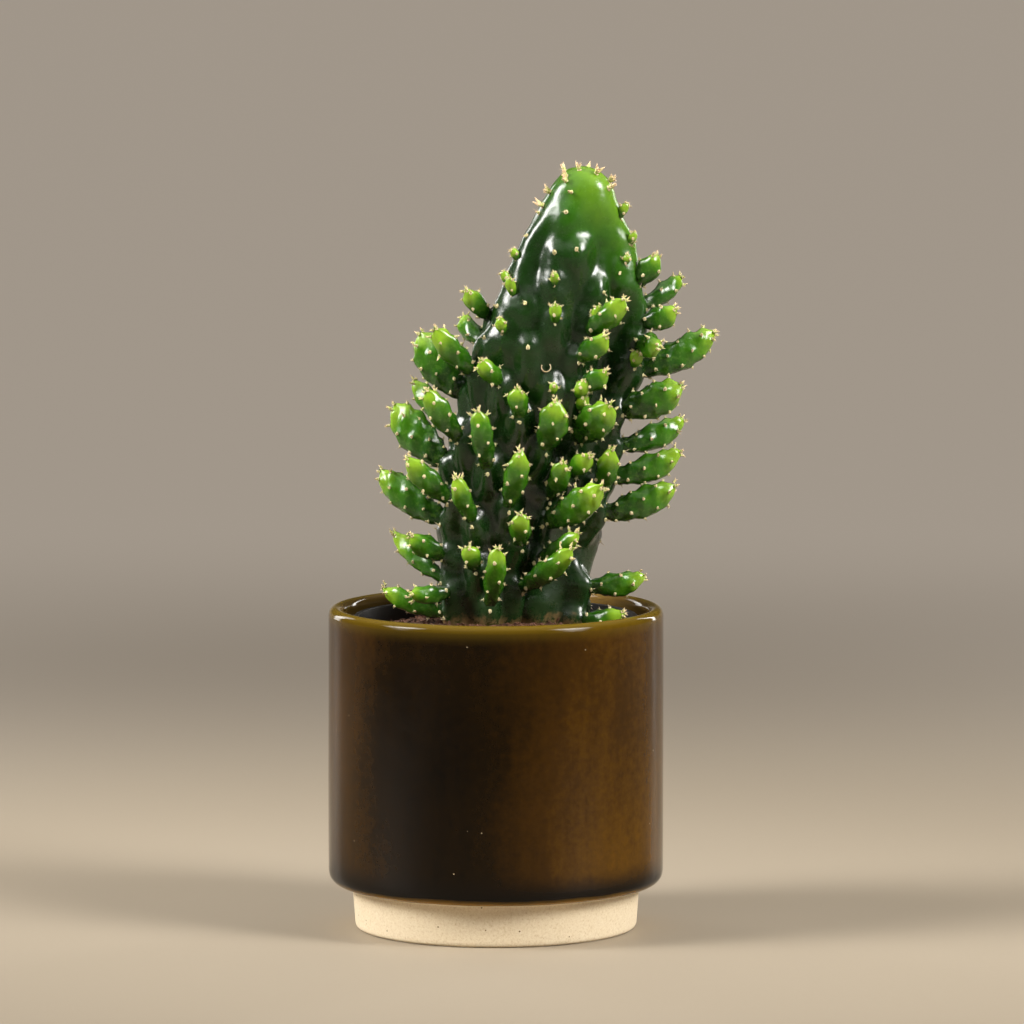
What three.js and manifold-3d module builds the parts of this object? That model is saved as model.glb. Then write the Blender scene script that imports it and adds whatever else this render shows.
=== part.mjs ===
// Potted prickly pear: a cactus stem set with young pads, in compost in a black nursery pot,
// which stands inside a glazed stoneware cover pot.
// Millimetres, +Z up. The origin is the centre of the flat foot that the pot stands on.
import * as THREE from 'three';
import { mergeVertices } from 'three/addons/utils/BufferGeometryUtils.js';
import Module from 'manifold-3d';

const wasm = await Module();
wasm.setup();

// ---- Driving dimensions ----

const FIT_GAP = 0.3; // clearance left between pieces that rest on or in each other

// Cover pot: a straight glazed cylinder on a narrower bare foot.
const POT_RADIUS = 55;
const POT_HEIGHT = 106;
const POT_WALL = 4.8;
const POT_SEGMENTS = 48;
const FOOT_RADIUS = 46.3;
const FOOT_TOP_RADIUS = 47.2;
const FOOT_HEIGHT = 14.4;
const FOOT_EDGE = 1.5; // rounding where the foot meets the table
const SHOULDER = 4.5; // rounding under the glazed wall
const POT_FLOOR = 7.5; // height of the inside floor
const WELL_RADIUS = 42.5; // inside radius within the foot
const WELL_HEIGHT = 17;
const WALL_START = 24; // height where the straight inside wall begins

// Nursery pot: thin black plastic with a rolled rim and drain holes.
const NURSERY_TOP = 103;
const NURSERY_BOTTOM_RADIUS = 36.5;
const NURSERY_TOP_RADIUS = 45.2;
const NURSERY_WALL = 1;
const NURSERY_RIM_RADIUS = 47.2;
const NURSERY_RIM_HEIGHT = 6;
const NURSERY_EDGE = 0.8; // small chamfer on the rim and at the bottom corner
const NURSERY_SEGMENTS = 40;
const DRAIN_HOLES = 6;
const DRAIN_RADIUS = 4;
const DRAIN_CIRCLE = 24; // radius of the ring that the drain holes lie on

// Compost: fills the nursery pot and heaps up a little round the stem.
const COMPOST_EDGE = 97.5;
const COMPOST_CROWN = 101;
const COMPOST_CROWN_RADIUS = 24;
const COMPOST_SEGMENTS = 32;

// The stem is two columns grown together. Each row is one level of a column:
// height, left edge, right edge, front face, back face.
const STEM_SIDES = 24;
const STEM_SQUARENESS = 2.4; // 2 is an ellipse, more is flatter on the faces
const MAIN_COLUMN = [
  [86, -15, 6, -10, 10],
  [100, -17.5, 7.5, -11.5, 11.5],
  [115, -18.5, 9, -12, 12],
  [134, -18, 14, -12.5, 12.5],
  [150, -18, 20, -13.5, 12],
  [165, -13.5, 26, -14.5, 11],
  [180, -9.5, 33, -14.5, 10.5],
  [195, -4.5, 35.5, -14, 10],
  [210, 2.5, 37, -12.5, 9.5],
  [225, 8.5, 38.5, -10.5, 9.5],
  [237, 15, 39.5, -9, 9],
  [245, 19, 37.5, -7.5, 8],
  [249, 23.5, 33.5, -4.5, 5.5],
];
const SIDE_COLUMN = [
  [86, 9, 28, -8, 10],
  [100, 7.5, 30, -9, 12],
  [112, 8.5, 31.5, -9, 12],
  [124, 9, 31, -8.5, 12],
  [136, 10, 36.5, -8, 12],
  [150, 15, 39.5, -7.5, 12],
  [165, 24, 42, -7, 12],
  [180, 28, 47, -6.5, 12],
  [195, 31, 48.5, -6, 12],
  [206, 32, 48, -5.5, 11],
  [218, 31.5, 46, -5, 10],
  [230, 30, 42.5, -4, 9],
  [238, 31, 38.5, -2, 6],
];

// Pads: club-shaped young joints, narrow at the foot and blunt at the tip.
const PAD_SIDES = 8;
const PAD_THICKNESS = 3.4; // thickness of a pad is this plus a share of its width
const PAD_THICKNESS_SHARE = 0.28;
const PAD_BOW = 0.06; // how far a pad's middle bows out under it, as a share of its length
const PAD_ROOTING = 2.5; // how far a pad's axis runs on into the stem before it is trimmed
// Outline of a pad: share of its length, share of its half width.
const PAD_OUTLINE = [
  [0, 0.36],
  [0.16, 0.56],
  [0.4, 0.87],
  [0.66, 1],
  [0.86, 0.86],
  [0.96, 0.52],
];

// Each pad: foot across, foot height, tip across, tip depth, tip height, width.
// Depth is negative toward the front; a foot always sits on the stem's front face or edge.
const LEFT_PADS = [
  [-15, 105, -37, -3, 113, 7.5],
  [-16, 116, -34, 5, 130, 7],
  [-16, 124, -28, -14, 131, 8],
  [-16, 135, -38, 3, 151, 11],
  [-14, 142, -29, -16, 157, 8.5],
  [-16, 154, -34, 4, 172, 13],
  [-11, 162, -23, -17, 179, 8.5],
  [-14, 166, -27, 9, 180, 7.5],
  [-11, 176, -25, 3, 196, 13.5],
  [-7, 184, -20, -15, 199, 8.5],
  [-4, 193, -11, 5, 201, 7],
  [-2, 202, -10, -9, 211, 6.5],
];
const FRONT_PADS = [
  [-14, 113, -28, -18, 112, 6.5],
  [-6, 120, -9, -20, 128, 6.5],
  [-2, 107, 1, -21, 128, 7.5],
  [8, 127, 8, -20, 139, 7.5],
  [-7, 135, -13, -20, 151, 7],
  [4, 139, 8, -21, 160, 8.5],
  [-2, 152, -6, -21, 173, 8],
  [18, 142, 22, -20, 156, 7.5],
  [16, 156, 20, -20, 176, 10.5],
  [8, 169, 7, -20, 180, 7],
  [2, 181, -5, -20, 189, 7],
  [10, 121, 27, -19, 133, 6],
  [7, 113, 25, -22, 128, 8],
  [14, 134, 35, -24, 148, 11],
  [22, 151, 31, -20, 158, 7],
  [34, 144, 38, -16, 160, 8],
  [24, 161, 37, -22, 175, 12],
  [27, 180, 36, -19, 185, 7.5],
  [26, 189, 36, -22, 197, 8],
  [29, 197, 42, -20, 209, 8.5],
];
const RIGHT_PADS = [
  [27, 103, 42, -12, 105, 7],
  [29, 114, 49, -5, 116, 8.5],
  [34, 137, 59, -6, 147, 10.5],
  [37, 149, 61, -3, 157, 9.5],
  [40, 159, 62, 6, 167, 9],
  [40, 171, 61, -9, 180, 12],
  [46, 184, 72, 3, 196, 11],
  [46, 195, 53, -17, 193, 8.5],
  [47, 200, 59, -8, 204, 8.5],
  [47, 205, 61, 7, 214, 7],
  [45, 212, 53, -5, 222, 8],
];

// The far side carries a rising zigzag of pads, each a step higher and further round.
const BACK_PADS = 13;
const BACK_LOWEST = 108;
const BACK_STEP = 6.2;
const BACK_TURN = 0.382; // share of the back's width from one pad to the next
const BACK_MARGIN = 0.14; // share of the stem's width left free at each edge
const BACK_FAN = 50; // degrees that a pad at the edge leans outward
const BACK_RISE = 46; // degrees that a pad points above level
const BACK_LENGTH = 23;
const BACK_WIDTH = 9;
const BACK_VARIETY = 0.22; // share by which the far pads differ in size

// ---- Shape helpers ----

const degrees = THREE.MathUtils.degToRad;

// Points along a round corner, from one angle to another, both in degrees.
function arc(centre, radius, from, to, steps) {
  const points = [];
  for (let i = 0; i <= steps; i += 1) {
    const angle = degrees(from + ((to - from) * i) / steps);
    points.push([centre[0] + radius * Math.cos(angle), centre[1] + radius * Math.sin(angle)]);
  }
  return points;
}

// A turned solid from a profile of radius and height that starts and ends on the axis.
function turned(profile, segments) {
  const points = profile.map(([radius, height]) => new THREE.Vector2(radius, height));
  return new THREE.LatheGeometry(points, segments).rotateX(degrees(90));
}

// A closed solid through rings of points, capped by a single point at each end.
function lofted(rings, start, end) {
  const sides = rings[0].length;
  const corners = [start, ...rings.flat(), end];
  const faces = [];
  const last = corners.length - 1;
  for (let side = 0; side < sides; side += 1) {
    const next = (side + 1) % sides;
    faces.push(0, 1 + next, 1 + side);
    for (let ring = 0; ring < rings.length - 1; ring += 1) {
      const low = 1 + ring * sides;
      const high = low + sides;
      faces.push(low + side, low + next, high + next);
      faces.push(low + side, high + next, high + side);
    }
    const top = 1 + (rings.length - 1) * sides;
    faces.push(top + side, top + next, last);
  }
  const geometry = new THREE.BufferGeometry();
  const values = corners.flatMap((corner) => corner.toArray());
  geometry.setAttribute('position', new THREE.Float32BufferAttribute(values, 3));
  geometry.setIndex(faces);
  return geometry;
}

function toSolid(geometry) {
  const bare = geometry.clone();
  bare.deleteAttribute('normal');
  bare.deleteAttribute('uv');
  const merged = mergeVertices(bare, 1e-4);
  const vertProperties = new Float32Array(merged.attributes.position.array);
  const triVerts = new Uint32Array(merged.index.array);
  return new wasm.Manifold(new wasm.Mesh({ numProp: 3, vertProperties, triVerts }));
}

function toGeometry(solid) {
  const mesh = solid.getMesh();
  const geometry = new THREE.BufferGeometry();
  geometry.setAttribute('position', new THREE.BufferAttribute(mesh.vertProperties, 3));
  geometry.setIndex(new THREE.BufferAttribute(mesh.triVerts, 1));
  geometry.computeVertexNormals();
  return geometry;
}

// ---- Stem ----

// A column's edges at one height, between the two rows next to it.
function levelOf(column, height) {
  const above = column.findIndex((row) => row[0] >= height);
  const high = column[Math.max(above, 1)];
  const low = column[Math.max(above, 1) - 1];
  const share = THREE.MathUtils.clamp((height - low[0]) / (high[0] - low[0]), 0, 1);
  return low.map((value, i) => value + (high[i] - value) * share);
}

function levelSize([height, left, right, front, back]) {
  return {
    centre: new THREE.Vector3((left + right) / 2, (front + back) / 2, height),
    across: (right - left) / 2,
    deep: (back - front) / 2,
  };
}

// Where the outline of a level meets a given direction round it, as a share of its half sizes.
function rounded(cosine, sine) {
  const power = 2 / STEM_SQUARENESS;
  return [Math.sign(cosine) * Math.abs(cosine) ** power, Math.sign(sine) * Math.abs(sine) ** power];
}

// One column of the stem, grown outward by a clearance where a neighbour is to be trimmed by it.
function columnSolid(column, clearance) {
  const rings = column.map((row) => {
    const { centre, across, deep } = levelSize(row);
    const ring = [];
    for (let side = 0; side < STEM_SIDES; side += 1) {
      const angle = (2 * Math.PI * side) / STEM_SIDES;
      const [x, y] = rounded(Math.cos(angle), Math.sin(angle));
      const offset = new THREE.Vector3(x * (across + clearance), y * (deep + clearance), 0);
      ring.push(centre.clone().add(offset));
    }
    return ring;
  });
  const bottom = levelSize(column[0]).centre.add(new THREE.Vector3(0, 0, -1 - clearance));
  const top = levelSize(column[column.length - 1]).centre.add(new THREE.Vector3(0, 0, 1.5 + clearance));
  return toSolid(lofted(rings, bottom, top));
}

function stemSolid(clearance) {
  return columnSolid(MAIN_COLUMN, clearance).add(columnSolid(SIDE_COLUMN, clearance));
}

// Depth of the stem's surface at a place across it and a height. Facing is -1 for front, 1 for back.
function surfaceDepth(across, height, facing) {
  const depths = [MAIN_COLUMN, SIDE_COLUMN].map((column) => {
    const level = levelSize(levelOf(column, height));
    const share = Math.abs(across - level.centre.x) / level.across;
    if (share >= 1) {
      return share < 1.25 ? level.centre.y : -facing * POT_RADIUS;
    }
    const reach = level.deep * (1 - share ** STEM_SQUARENESS) ** (1 / STEM_SQUARENESS);
    return level.centre.y + facing * reach;
  });
  return facing < 0 ? Math.min(...depths) : Math.max(...depths);
}

// ---- Pads ----

// A pad from its foot to its tip, with its broad face square to the front.
function padSolid(foot, tip, width) {
  const along = tip.clone().sub(foot).normalize();
  const broad = new THREE.Vector3().crossVectors(along, new THREE.Vector3(0, -1, 0)).normalize();
  const thin = new THREE.Vector3().crossVectors(along, broad).normalize();
  const start = foot.clone().addScaledVector(along, -PAD_ROOTING);
  const length = tip.distanceTo(start);
  const down = new THREE.Vector3(0, 0, -1);
  const bow = down.addScaledVector(along, along.z).multiplyScalar(PAD_BOW * length);
  const thickness = PAD_THICKNESS + PAD_THICKNESS_SHARE * width;
  const rings = PAD_OUTLINE.map(([share, fullness]) => {
    const middle = start.clone().addScaledVector(along, share * length);
    middle.addScaledVector(bow, Math.sin(Math.PI * share));
    const ring = [];
    for (let side = 0; side < PAD_SIDES; side += 1) {
      const angle = (2 * Math.PI * (side + 0.5)) / PAD_SIDES;
      const point = middle.clone();
      point.addScaledVector(broad, (Math.cos(angle) * fullness * width) / 2);
      point.addScaledVector(thin, (Math.sin(angle) * fullness * thickness) / 2);
      ring.push(point);
    }
    return ring;
  });
  return toSolid(lofted(rings, start, tip));
}

function frontPad([footAcross, footHeight, tipAcross, tipDepth, tipHeight, width]) {
  const foot = new THREE.Vector3(footAcross, surfaceDepth(footAcross, footHeight, -1), footHeight);
  return padSolid(foot, new THREE.Vector3(tipAcross, tipDepth, tipHeight), width);
}

function backPad(index) {
  const height = BACK_LOWEST + index * BACK_STEP;
  const left = levelOf(MAIN_COLUMN, height)[1];
  const right = levelOf(SIDE_COLUMN, height)[2];
  const place = BACK_MARGIN + (1 - 2 * BACK_MARGIN) * ((0.2 + index * BACK_TURN) % 1);
  const across = THREE.MathUtils.lerp(left, right, place);
  const foot = new THREE.Vector3(across, surfaceDepth(across, height, 1), height);
  const lean = degrees(90 - BACK_FAN * (2 * place - 1));
  const size = 1 + BACK_VARIETY * Math.sin(index * 2);
  const level = BACK_LENGTH * size * Math.cos(degrees(BACK_RISE));
  const climb = BACK_LENGTH * size * Math.sin(degrees(BACK_RISE));
  const reach = new THREE.Vector3(level * Math.cos(lean), level * Math.sin(lean), climb);
  return padSolid(foot, foot.clone().add(reach), BACK_WIDTH * size);
}

function allPads() {
  const pads = [...LEFT_PADS, ...FRONT_PADS, ...RIGHT_PADS].map(frontPad);
  for (let index = 0; index < BACK_PADS; index += 1) {
    pads.push(backPad(index));
  }
  return pads;
}

// ---- Pots and compost ----

function coverPot() {
  const inside = POT_RADIUS - POT_WALL;
  const lip = POT_WALL / 2;
  const lipHeight = POT_HEIGHT - lip;
  return turned([
    [0, 0],
    ...arc([FOOT_RADIUS - FOOT_EDGE, FOOT_EDGE], FOOT_EDGE, -90, 0, 3),
    [FOOT_TOP_RADIUS, FOOT_HEIGHT],
    ...arc([POT_RADIUS - SHOULDER, FOOT_HEIGHT + SHOULDER], SHOULDER, -90, 0, 4),
    ...arc([POT_RADIUS - lip, lipHeight], lip, 0, 180, 6),
    [inside, WALL_START],
    [WELL_RADIUS, WELL_HEIGHT],
    [WELL_RADIUS, POT_FLOOR + 3],
    [WELL_RADIUS - 3, POT_FLOOR],
    [0, POT_FLOOR],
  ], POT_SEGMENTS);
}

function nurseryPot() {
  const bottom = POT_FLOOR + FIT_GAP;
  const rimStart = NURSERY_TOP - NURSERY_RIM_HEIGHT;
  const shell = turned([
    [0, bottom],
    [NURSERY_BOTTOM_RADIUS - NURSERY_EDGE, bottom],
    [NURSERY_BOTTOM_RADIUS, bottom + NURSERY_EDGE],
    [NURSERY_TOP_RADIUS, rimStart],
    [NURSERY_RIM_RADIUS, rimStart + NURSERY_EDGE],
    [NURSERY_RIM_RADIUS, NURSERY_TOP - NURSERY_EDGE],
    [NURSERY_RIM_RADIUS - NURSERY_EDGE, NURSERY_TOP],
    [NURSERY_TOP_RADIUS - NURSERY_WALL + NURSERY_EDGE, NURSERY_TOP],
    [NURSERY_TOP_RADIUS - NURSERY_WALL, rimStart],
    [NURSERY_BOTTOM_RADIUS - NURSERY_WALL, bottom + NURSERY_WALL],
    [0, bottom + NURSERY_WALL],
  ], NURSERY_SEGMENTS);
  let solid = toSolid(shell);
  for (let hole = 0; hole < DRAIN_HOLES; hole += 1) {
    const angle = (2 * Math.PI * hole) / DRAIN_HOLES;
    const drill = new THREE.CylinderGeometry(DRAIN_RADIUS, DRAIN_RADIUS, 4 * NURSERY_WALL, 12);
    drill.rotateX(degrees(90));
    drill.translate(DRAIN_CIRCLE * Math.cos(angle), DRAIN_CIRCLE * Math.sin(angle), bottom);
    solid = solid.subtract(toSolid(drill));
  }
  return toGeometry(solid);
}

function compost(stemRoom) {
  const bottom = POT_FLOOR + FIT_GAP + NURSERY_WALL + FIT_GAP;
  const inset = NURSERY_WALL + FIT_GAP;
  const heap = turned([
    [0, bottom],
    [NURSERY_BOTTOM_RADIUS - inset, bottom],
    [NURSERY_TOP_RADIUS - inset, NURSERY_TOP - NURSERY_RIM_HEIGHT],
    [NURSERY_TOP_RADIUS - inset, COMPOST_EDGE],
    [COMPOST_CROWN_RADIUS + 8, COMPOST_EDGE + 2],
    [COMPOST_CROWN_RADIUS, COMPOST_CROWN],
    [0, COMPOST_CROWN],
  ], COMPOST_SEGMENTS);
  return toGeometry(toSolid(heap).subtract(stemRoom));
}

// ---- Assembly ----

const glazedStoneware = { color: 0x4a3a14, roughness: 0.15, metalness: 0 };
const blackPlastic = { color: 0x17171a, roughness: 0.5, metalness: 0 };
const darkCompost = { color: 0x3a2519, roughness: 0.95, metalness: 0 };
const stemSkin = { color: 0x1f4a1f, roughness: 0.35, metalness: 0 };
const padSkin = { color: 0x4a8a1f, roughness: 0.35, metalness: 0 };

const plant = new THREE.Group();

function addPiece(name, geometry, finish) {
  const mesh = new THREE.Mesh(geometry, new THREE.MeshStandardMaterial(finish));
  mesh.name = name;
  plant.add(mesh);
}

const stemRoom = stemSolid(FIT_GAP);
addPiece('cover_pot', coverPot(), glazedStoneware);
addPiece('nursery_pot', nurseryPot(), blackPlastic);
addPiece('compost', compost(stemRoom), darkCompost);
addPiece('main_stem', toGeometry(stemSolid(0)), stemSkin);
allPads().forEach((pad, index) => {
  const name = `pad_${String(index + 1).padStart(2, '0')}`;
  addPiece(name, toGeometry(pad.subtract(stemRoom)), padSkin);
});

export default plant;
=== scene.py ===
"""A young prickly pear in a black nursery pot, standing in a glazed stoneware cover pot."""

import math

import bpy
import numpy as np
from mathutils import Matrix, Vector
from mathutils.bvhtree import BVHTree


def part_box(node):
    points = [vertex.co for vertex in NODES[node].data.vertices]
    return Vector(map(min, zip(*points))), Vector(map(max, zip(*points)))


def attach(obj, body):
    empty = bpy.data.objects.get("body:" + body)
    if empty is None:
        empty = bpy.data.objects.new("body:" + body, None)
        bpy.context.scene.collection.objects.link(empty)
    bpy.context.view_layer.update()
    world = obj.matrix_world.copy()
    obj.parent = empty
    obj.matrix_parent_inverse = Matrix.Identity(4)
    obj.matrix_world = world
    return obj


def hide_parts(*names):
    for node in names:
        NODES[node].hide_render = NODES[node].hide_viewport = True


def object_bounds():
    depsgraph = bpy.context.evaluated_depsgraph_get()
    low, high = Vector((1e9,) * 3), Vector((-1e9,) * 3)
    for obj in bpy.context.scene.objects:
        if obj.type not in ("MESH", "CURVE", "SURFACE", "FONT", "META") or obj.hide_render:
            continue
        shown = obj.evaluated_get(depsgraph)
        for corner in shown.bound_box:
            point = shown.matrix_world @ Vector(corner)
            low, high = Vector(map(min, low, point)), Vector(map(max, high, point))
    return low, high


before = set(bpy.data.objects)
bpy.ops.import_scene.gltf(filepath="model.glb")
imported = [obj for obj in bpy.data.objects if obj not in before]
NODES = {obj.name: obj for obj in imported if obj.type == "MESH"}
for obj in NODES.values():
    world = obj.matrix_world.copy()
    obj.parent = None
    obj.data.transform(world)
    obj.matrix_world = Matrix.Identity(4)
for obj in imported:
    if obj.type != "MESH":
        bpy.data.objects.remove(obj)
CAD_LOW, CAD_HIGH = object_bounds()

MM = 0.001
UP = np.array([0.0, 0.0, 1.0])
FRONT = np.array([0.0, -1.0, 0.0])
RIGHT = np.array([1.0, 0.0, 0.0])
GOLDEN_TURN = math.radians(137.5)  # the angle between one areole and the next on a growing joint

POT_HIGH = np.array(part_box("cover_pot")[1])
STEM_LOW, STEM_HIGH = (np.array(corner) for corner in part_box("main_stem"))
COMPOST_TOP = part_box("compost")[1].z
PAD_NAMES = sorted(name for name in NODES if name.startswith("pad_"))


# ---- Meshes ----

def new_object(name, data):
    """A new object, placed in the scene."""
    made = bpy.data.objects.new(name, data)
    bpy.context.scene.collection.objects.link(made)
    return made


def new_mesh(name, points, faces):
    mesh = bpy.data.meshes.new(name)
    mesh.from_pydata(points.tolist(), [], faces)
    return mesh


def applied(piece):
    """A copy of the piece's mesh with its modifiers applied."""
    return bpy.data.meshes.new_from_object(piece.evaluated_get(bpy.context.evaluated_depsgraph_get()))


class Shape:
    """Points, faces and finishes gathered for one piece. Growth runs from 0, old, to 1, youngest."""

    def __init__(self):
        self.points = []
        self.faces = []
        self.finish = []
        self.growth = []
        self.count = 0

    def add(self, points, faces, finish, growth):
        self.faces += [tuple(corner + self.count for corner in face) for face in faces]
        self.finish += [finish] * len(faces)
        self.points.append(points)
        self.growth.append(np.broadcast_to(growth, len(points)))
        self.count += len(points)

    def build(self, name, materials, node=None):
        mesh = new_mesh(name, np.vstack(self.points), self.faces)
        mesh.polygons.foreach_set("material_index", self.finish)
        mesh.polygons.foreach_set("use_smooth", [True] * len(self.faces))
        growth = mesh.attributes.new("growth", "FLOAT", "POINT")
        growth.data.foreach_set("value", np.concatenate(self.growth).astype(np.float32))
        for material in materials:
            mesh.materials.append(material)
        piece = new_object(name, mesh)
        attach(piece, "root")
        if node:
            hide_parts(node)
        return piece


def welded(node):
    """A CAD node's points, each kept once, and its faces."""
    mesh = NODES[node].data
    points = np.round([vertex.co for vertex in mesh.vertices], 6)
    points, places = np.unique(points, axis=0, return_inverse=True)
    places = places.ravel()
    return points, [tuple(int(places[corner]) for corner in face.vertices) for face in mesh.polygons]


def edges_of(faces):
    """Every edge of the faces, once, as pairs of corners."""
    pairs = {(min(a, b), max(a, b)) for face in faces for a, b in zip(face, face[1:] + face[:1])}
    return np.array(sorted(pairs))


def unit(vector):
    return vector / np.linalg.norm(vector)


def unit_rows(rows):
    """Every row at length 1."""
    return rows / np.maximum(np.linalg.norm(rows, axis=1, keepdims=True), 1e-12)


def across(normal, hint=UP):
    """Two directions square to a normal: the first level, the second as near the hint as it can be."""
    side = np.cross(hint, normal)
    if np.linalg.norm(side) < 0.05:
        side = np.cross(FRONT, normal)
    side = unit(side)
    return side, np.cross(normal, side)


def ring_of(turns, side, lift):
    """Points on a circle of radius 1 at these turns, in the plane of two directions."""
    return np.outer(np.cos(turns), side) + np.outer(np.sin(turns), lift)


def lofted(rings, start, end):
    """A closed skin through rings of points, with a single point at each end."""
    count, sides = rings.shape[:2]
    points = np.vstack([start, rings.reshape(-1, 3), end])
    last = 1 + (count - 1) * sides
    faces = []
    for side in range(sides):
        after = (side + 1) % sides
        faces.append((0, 1 + after, 1 + side))
        faces.append((last + side, last + after, len(points) - 1))
        for low in range(1, last, sides):
            faces.append((low + side, low + after, low + sides + after, low + sides + side))
    return points, faces


def turned(outline, sides, ripple=None):
    """A turned skin from radius and height pairs that start and end on the axis."""
    angles = np.linspace(0, 2 * math.pi, sides, endpoint=False)
    rings = []
    for radius, height in outline[1:-1]:
        ring = ring_of(angles, RIGHT, -FRONT) * radius
        if ripple:
            ring += unit_rows(ring) * ripple(angles, height)[:, None]
        rings.append(ring + UP * height)
    return lofted(np.array(rings), UP * outline[0][1], UP * outline[-1][1])


def spike(shape, root, direction, length, thickness, finish, growth):
    """A thin pointed spine or hair."""
    side, lift = across(direction)
    turns = np.arange(4) * math.pi / 2
    rings = []
    for share, fullness in ((0.0, 1.0), (0.5, 0.7)):
        middle = root + direction * length * share
        rings.append(middle + ring_of(turns, side, lift) * thickness * fullness / 2)
    points, faces = lofted(np.array(rings), root, root + direction * length)
    shape.add(points, faces, finish, growth)


def wool_cushion(shape, place, normal, radius, finish):
    """The felted cushion of an areole, low and lumpy."""
    side, lift = across(normal)
    turns = np.arange(8) * math.pi / 4
    lumps = 1 + rng.uniform(-0.28, 0.28, 8)
    ring = ring_of(turns, side, lift * 1.2) * lumps[:, None]
    rings = [place + ring * radius * wide + normal * radius * high for wide, high in
             ((0.8, -0.4), (1.0, 0.0), (0.7, 0.3))]
    points, faces = lofted(np.array(rings), place - normal * radius * 0.5, place + normal * radius * 0.42)
    shape.add(points, faces, finish, 0.5)


def tip_leaf(shape, root, direction, length, finish):
    """A small awl-shaped leaf, fat at the foot and drawn out to a point."""
    side, lift = across(direction)
    turns = np.arange(6) * math.pi / 3
    curl = lift * rng.uniform(-0.12, 0.22) * length + side * rng.uniform(-0.1, 0.1) * length
    rings = []
    shares = (0.0, 0.25, 0.55, 0.82)
    for share, fullness in zip(shares, (0.75, 1.0, 0.8, 0.4)):
        middle = root + direction * length * share + curl * share ** 2
        rings.append(middle + ring_of(turns, side, lift) * fullness * length * 0.17)
    heel, point = root - direction * length * 0.1, root + direction * length + curl
    points, faces = lofted(np.array(rings), heel, point)
    ripeness = np.concatenate([[0.0], np.repeat(shares, 6), [1.0]])
    shape.add(points, faces, finish, ripeness)


# ---- Finishes ----

# Sockets of a Mix node: its factor, its two numbers and its two colours.
FACTOR, NUMBER_A, NUMBER_B, COLOUR_A, COLOUR_B = 0, 2, 3, 6, 7


def paint(code):
    """A linear colour from an sRGB hex code."""
    parts = [int(code[i:i + 2], 16) / 255 for i in (1, 3, 5)]
    return (*(c / 12.92 if c <= 0.04045 else ((c + 0.055) / 1.055) ** 2.4 for c in parts), 1.0)


def output_of(source):
    """The socket to link from. A node stands for its first output that is in use."""
    if isinstance(source, bpy.types.NodeSocket):
        return source
    return next(output for output in source.outputs if output.enabled)


def add_node(tree, kind, links=None, values=None, stops=None, **settings):
    """Adds a shader node with its settings, its ramp's colour stops, its values and its links. A
    text value is a hex colour."""
    node = tree.nodes.new("ShaderNode" + kind)
    for name, value in settings.items():
        setattr(node, name, value)
    for socket, value in (values or {}).items():
        node.inputs[socket].default_value = paint(value) if isinstance(value, str) else value
    for socket, source in (links or {}).items():
        tree.links.new(output_of(source), node.inputs[socket])
    if stops:
        ramp = node.color_ramp.elements
        while len(ramp) < len(stops):
            ramp.new(1.0)
        for element, (place, code) in zip(ramp, stops):
            element.position = place
            element.color = paint(code)
    return node


def finish(name, **surface):
    """A new material with its surface shader's constant values: the material, its node tree, that
    shader and the place on the piece, which every pattern is laid out by."""
    material = bpy.data.materials.new(name)
    material.use_nodes = True
    tree = material.node_tree
    shader = tree.nodes["Principled BSDF"]
    for socket, value in surface.items():
        shader.inputs[socket.replace("_", " ")].default_value = value
    return material, tree, shader, add_node(tree, "TexCoord").outputs["Object"]


def feed(tree, shader, **sources):
    """Links sources to a shader's sockets, whose names are written with _ for a space."""
    for socket, source in sources.items():
        tree.links.new(output_of(source), shader.inputs[socket.replace("_", " ")])


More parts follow.
